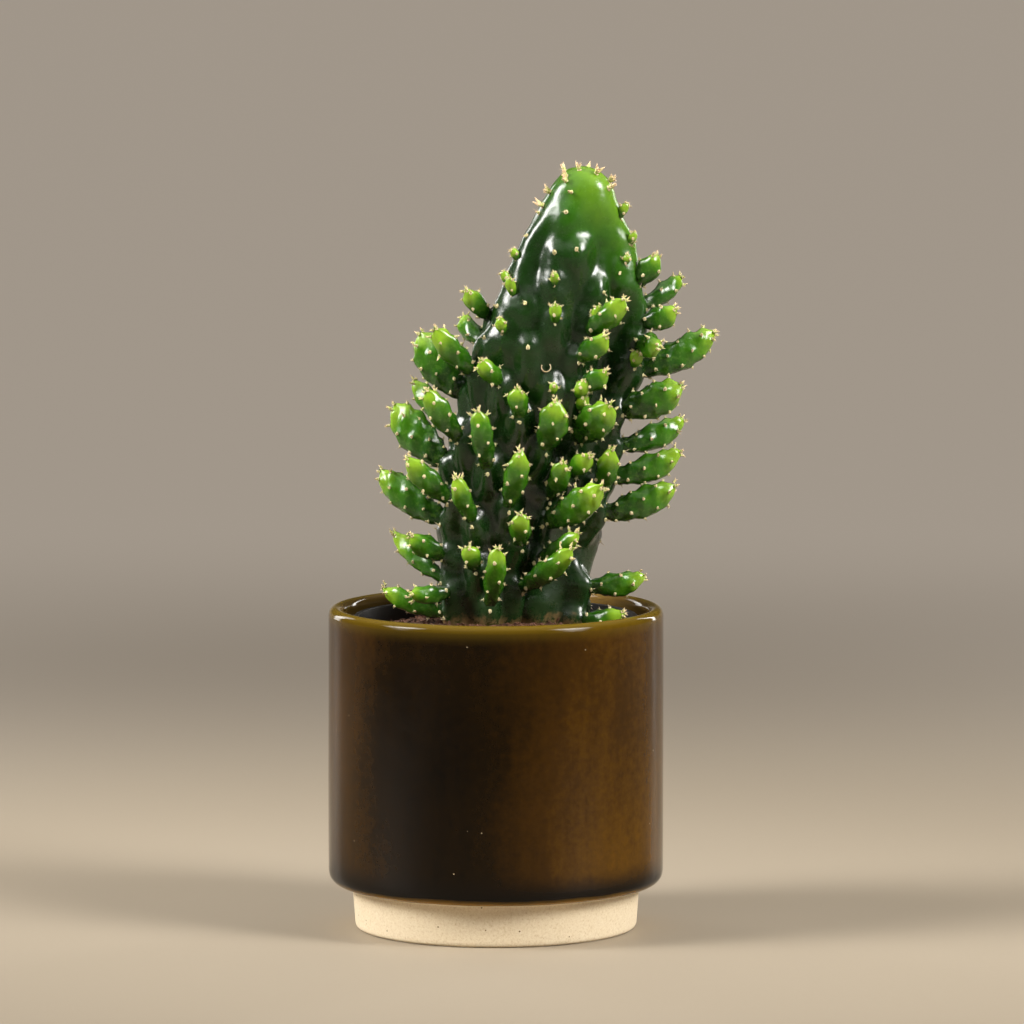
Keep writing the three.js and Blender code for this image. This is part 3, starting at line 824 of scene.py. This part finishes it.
def fine_stem():
    """The stem's skin on an even grid of small faces, with its facets rounded off."""
    points, faces = welded("main_stem")
    blank = new_object("stem_blank", new_mesh("stem_blank", points, faces))
    remesh = blank.modifiers.new("even", "REMESH")
    remesh.mode = "VOXEL"
    remesh.voxel_size = 0.95 * MM
    mesh = applied(blank)
    bpy.data.objects.remove(blank)
    points = np.array([vertex.co for vertex in mesh.vertices])
    faces = [tuple(face.vertices) for face in mesh.polygons]
    edges = edges_of(faces)
    return smoothed(points, edges, 14), edges, faces


def normals_of(points, faces):
    """The skin's direction outward at every point."""
    corners = np.array([face[:4] if len(face) > 3 else (*face, face[2]) for face in faces])
    a, b, c, d = (points[corners[:, i]] for i in range(4))
    flat = np.cross(c - a, d - b)
    total = np.zeros_like(points)
    for i in range(4):
        np.add.at(total, corners[:, i], flat)
    return unit_rows(total)


# Growing buds on the bare upper part of the stem: drop below the top, place across the stem's width
# (0 at the left edge, 1 at the right), length and width, all in millimetres but the place.
BUDS = [
    (16, 1.0, 5.5, 2.7), (25, 1.0, 4.5, 2.3), (31, 0.9, 3.2, 2.2), (37, 0.36, 4.5, 2.5),
    (30, 0.0, 4, 2.4), (41, 0.1, 6.5, 3.1), (38, 0.02, 5.0, 2.5), (49, 0.42, 7.0, 3.8),
    (53, 0.13, 5.5, 3.4), (50, 0.66, 7.5, 4.6), (77, 0.66, 6, 4), (64, 0.93, 6, 4),
    (142, 0.53, 4.5, 3.5), (72, 0.5, 4, 2.4), (73, 0.64, 7, 4.6),
]

# Clusters of leaves and spines round the growing crown: drop below the top, and place across the stem.
CROWN = [
    (0.6, 0.35), (2.2, 0.05), (2.6, 0.8), (4.8, 0.22), (5.2, 0.97), (7.0, 0.92), (8.5, 0.02), (13, 0.0),
]

# Plain areoles on the bare upper part of the stem, placed the same way.
BARE_AREOLES = [
    (8, 0.35), (14.5, 0.35), (15.5, 0.0), (16.5, 0.97), (23, 0.0), (25.5, 0.97), (26.5, 0.5), (27.5, 0.32),
    (34.5, 0.85), (36, 0.0), (40.5, 0.7), (44, 0.2), (46, 0.0), (56, 0.0), (58, 0.3),
]


def dry_hook(shape, site, normal):
    """A dried curl of skin that still hangs on the stem."""
    side, lift = across(normal)
    radius, thickness = 1.5 * MM, 0.22 * MM
    turns = np.arange(5) * 2 * math.pi / 5
    rings = []
    for sweep in np.linspace(math.radians(150), math.radians(400), 14):
        spoke = side * math.cos(sweep) + lift * math.sin(sweep)
        middle = site + normal * 0.7 * MM + spoke * radius
        rings.append(middle + ring_of(turns, spoke, normal) * thickness)
    rings = np.array(rings)
    shape.add(*lofted(rings, rings[0].mean(axis=0), rings[-1].mean(axis=0)), HORN, 0.5)


def level_slice(points, height):
    """The points of a skin that lie near one height."""
    return points[np.abs(points[:, 2] - height) < 1.2 * MM]


def on_front(points, tree, drop, place):
    """The skin's point and normal at a drop below the top and a place across the width."""
    height = STEM_HIGH[2] - drop * MM
    level = level_slice(points, height)
    left, right = level[:, 0].min(), level[:, 0].max()
    x = left + (right - left) * min(max(place, 0.05), 0.95)
    hit, normal = tree.ray_cast(Vector((x, -1, height)), Vector((0, 1, 0)))[:2]
    if hit is None:
        hit, normal = tree.find_nearest(Vector((x, level[:, 1].min(), height)))[:2]
    return np.array(hit), np.array(normal)


def settled(skin, site, normal):
    """The point of the swollen skin that lies over or under a site."""
    return np.array(skin.ray_cast(Vector(site + normal * 6 * MM), Vector(-normal))[0] or site)


def plant_finishes(skin):
    """The materials of a green piece, in the order of SKIN, WOOL, HORN and LEAF."""
    return [MATERIALS[key] for key in (skin, "wool", "spine", "leaf")]


def areole_sites(points, tree, feet, bud_sites):
    """Each areole of the stem as its site, normal and kind: under the joints and buds, round the
    crown, and over the rest of the skin in the spiral that a growing tip lays down."""
    found = []

    def claim(site, normal, kind):
        found.append((np.array(site), unit(np.array(normal)), kind))

    for foot in feet:
        claim(*tree.find_nearest(Vector(foot))[:2], "pad")
    for site, normal in bud_sites:
        claim(site, normal, "bud")
    for kind, places in (("crown", CROWN), ("areole", BARE_AREOLES)):
        for drop, place in places:
            claim(*on_front(points, tree, drop, place), kind)
    first, last = COMPOST_TOP + 1.5 * MM, STEM_HIGH[2] - 1 * MM
    for i in range(int((last - first) / SPIRAL_STEP) + 1):
        height = first + i * SPIRAL_STEP
        level = level_slice(points, height)
        centre = (level.min(axis=0) + level.max(axis=0)) / 2
        heading = np.array([math.cos(i * GOLDEN_TURN), math.sin(i * GOLDEN_TURN), 0.0])
        hit, normal = tree.ray_cast(Vector(centre + heading * 0.2), Vector(-heading))[:2]
        if hit is None:
            continue
        gap = CROWN_GAP if height > STEM_HIGH[2] - 9 * MM else AREOLE_GAP
        if min(np.linalg.norm(np.array(hit) - site) for site, _, _ in found) > gap:
            claim(hit, normal, "areole")
    return found


def stem(points, edges, faces, tree, areoles):
    """The stem, with its skin swollen under the areoles. Returns that skin for what grows on it."""
    sites, outward, kinds = zip(*areoles)
    sizes = [0.72 if kind == "pad" else 1.0 for kind in kinds]  # where joints crowd, swellings stay small
    raised = swellings(points, sites, outward, sizes, *STEM_REACH)
    # The skin first draws in, so that the crests of its swellings keep the stem's width.
    relief = (raised - 0.55) * STEM_SWELLING + unevenness(points) * 0.6 * MM
    top_fade = np.clip((STEM_HIGH[2] - points[:, 2]) / (30 * MM), 0.3, 1)
    points = points + normals_of(points, faces) * (relief * top_fade)[:, None]
    points = smoothed(points, edges, 2)
    shape = Shape()
    shape.add(points, faces, SKIN, 0.0)
    skin = BVHTree.FromPolygons(points.tolist(), faces)
    for site, normal, kind in areoles:
        place = settled(skin, site, normal)
        top = (place[2] - STEM_LOW[2]) / (STEM_HIGH[2] - STEM_LOW[2])
        if kind == "crown":
            armed_areole(shape, place, normal, size=1.5, spines=5, longest=3 * MM, leaves=7,
                         leaf_length=3.4 * MM)
        elif kind == "pad":
            armed_areole(shape, place - UP * 1.5 * MM, normal, size=1.1, spines=2, longest=2.4 * MM)
        elif kind == "bud":
            armed_areole(shape, place - UP * 1.6 * MM, normal, size=0.9, spines=2, longest=2 * MM)
        elif top > 0.94:
            armed_areole(shape, place, normal, rng.uniform(1.0, 1.3), spines=3, longest=2.8 * MM, leaves=4,
                         leaf_length=3 * MM)
        else:
            size, spines = rng.uniform(1.0, 1.3), int(rng.integers(1, 4))
            armed_areole(shape, place, normal, size, spines, longest=2.8 * MM, leaves=int(top > 0.72),
                         leaf_length=2 * MM)
    site, normal = on_front(points, tree, 64.5, 0.44)
    dry_hook(shape, settled(skin, site, normal), normal)
    piece = shape.build("waxy_stem", plant_finishes("stem"), "main_stem")
    # The swell attribute, 0 in the hollows and 1 on the crests, carries the painted shade of the stem's
    # hollows.
    swell = piece.data.attributes.new("swell", "FLOAT", "POINT")
    share = np.zeros(shape.count, np.float32)
    share[:len(points)] = raised
    swell.data.foreach_set("value", share)
    return skin


def plant():
    """The stem, the joints that the CAD's pads stand for, and the small buds."""
    points, edges, faces = fine_stem()
    tree = BVHTree.FromPolygons(points.tolist(), faces)
    measured = {name: measure_pad(name, tree) for name in PAD_NAMES}
    bud_sites = [on_front(points, tree, drop, place) for drop, place, _, _ in BUDS]
    areoles = areole_sites(points, tree, [pad[0] for pad in measured.values()], bud_sites)
    skin = stem(points, edges, faces, tree, areoles)
    finishes = plant_finishes("joint")
    for name, (foot, middle, tip, half_wide, half_thick) in measured.items():
        pad = Shape()
        rooted = foot - unit(tip - foot) * 1.8 * MM
        joint(pad, rooted, tip, middle, half_wide, half_thick, foot_share=0.36, spacing=4.9 * MM,
              leaves=2, leaf_length=1.8 * MM)
        pad.build(f"young_joint_{name[4:]}", finishes, name)
    for index, ((site, normal), (_, _, length, width)) in enumerate(zip(bud_sites, BUDS)):
        bud = Shape()
        heading = unit(normal * 0.55 + UP * 0.85)
        foot = settled(skin, site, normal) - heading * 0.6 * MM
        tip = foot + heading * length * MM
        half = width * MM / 2
        joint(bud, foot, tip, (foot + tip) / 2, half, half * 0.85, foot_share=0.6, spacing=3.4 * MM,
              leaves=1, leaf_length=1.3 * MM, youth=0.42)
        bud.build(f"bud_{index + 1:02d}", finishes)


# ---- Studio ----

def floor():
    """A wide pale painted board, a little darker where the lamps shine straight on it than out where
    they don't reach, so that it looks even."""
    floor_radius, sides = 9.0, 96
    turns = np.linspace(0, 2 * math.pi, sides, endpoint=False)
    rim = ring_of(turns, RIGHT, -FRONT) * floor_radius
    mesh = new_mesh("floor", rim, [tuple(range(sides))])
    ground = new_object("floor", mesh)
    ground.location.z = CAD_LOW.z
    material, tree, shader, place = finish("pale_floor", Roughness=0.6)
    away = add_node(tree, "VectorMath", {0: place}, operation="LENGTH")
    unlit = add_node(tree, "MapRange", {"Value": away.outputs["Value"]},
                     {"From Min": 0.25, "From Max": 1.2}, interpolation_type="SMOOTHSTEP")
    colour = add_node(tree, "Mix", {FACTOR: unlit},
                      {COLOUR_A: "#998d7b", COLOUR_B: "#ebe2d7"}, data_type="RGBA")
    feed(tree, shader, Base_Color=colour)
    mesh.materials.append(material)


def room_light():
    """Walls that meet the far floor in its own tone and darken above it, and a bright soft ceiling."""
    world = bpy.data.worlds.new("room")
    world.use_nodes = True
    room = world.node_tree
    heading = add_node(room, "TexCoord").outputs["Generated"]
    height = add_node(room, "SeparateXYZ", {0: heading}).outputs["Z"]
    walls = add_node(room, "ValToRGB", {0: height},
                     stops=[(0.05, "#a09689"), (0.14, "#454036"), (0.48, "#4d473c"), (1.0, "#fbf5ee")])
    feed(room, room.nodes["Background"], Color=walls)
    bpy.context.scene.world = world
    bpy.context.scene.view_settings.view_transform = "Standard"


def aimed(name, data, middle, heading, rise, away):
    """A lamp or camera that faces a point from a heading and a rise in degrees, and a distance."""
    turn, lift = math.radians(heading), math.radians(rise)
    offset = Vector((math.sin(turn) * math.cos(lift), -math.cos(turn) * math.cos(lift), math.sin(lift)))
    holder = new_object(name, data)
    holder.location = middle + offset * away
    holder.rotation_euler = (-offset).to_track_quat("-Z", "Y").to_euler()
    return holder


def lamps():
    """Two softboxes, two strips behind the sides and a faint fill from the front."""
    middle = Vector((0, 0, (CAD_LOW.z + CAD_HIGH.z) / 2))
    # Heading from the front and rise in degrees, distance, width and height in metres, watts, spread.
    for name, heading, rise, away, wide, tall, power, spread in (
        ("left_softbox", -74, 34, 1.1, 0.8, 0.8, 2.9, 34),
        ("right_softbox", 60, 34, 1.1, 0.5, 0.7, 1.6, 34),
        ("left_strip", -140, 15, 1.2, 0.26, 0.66, 0.25, 44),
        ("right_strip", 138, 15, 1.2, 0.1, 0.66, 0.2, 44),
        ("front_fill", -30, 40, 1.5, 0.9, 0.9, 0.1, 40),
    ):
        lamp = bpy.data.lights.new(name, "AREA")
        lamp.shape = "RECTANGLE"
        lamp.size, lamp.size_y = wide, tall
        lamp.energy = power
        lamp.spread = math.radians(spread)
        lamp.color = (1.0, 0.98, 0.95)
        aimed(name, lamp, middle, heading, rise, away).visible_camera = False


def camera():
    """Just above the rim's level, from the front, with a long lens."""
    lens = bpy.data.cameras.new("camera")
    lens.lens = 279
    lens.sensor_width = 36
    lens.clip_end = 50
    centre = (CAD_LOW + CAD_HIGH) / 2
    aim = Vector((centre.x - 3.3 * MM, 0, centre.z + 11.8 * MM))
    bpy.context.scene.camera = aimed("camera", lens, aim, heading=0, rise=6.3, away=2.6)


rng = np.random.default_rng(20)
# The bare foot ends where the outline steps outward under the glazed wall.
FOOT_TOP = min(height for radius, height in meridian("cover_pot") if radius > 0.9 * POT_HIGH[0])
MATERIALS = {
    "stem": stem_skin(), "joint": young_skin(), "wool": areole_wool(), "spine": spine_horn(),
    "leaf": leaf_skin(),
}
camera()
floor()
room_light()
lamps()
cover_pot()
nursery_pot()
compost()
plant()
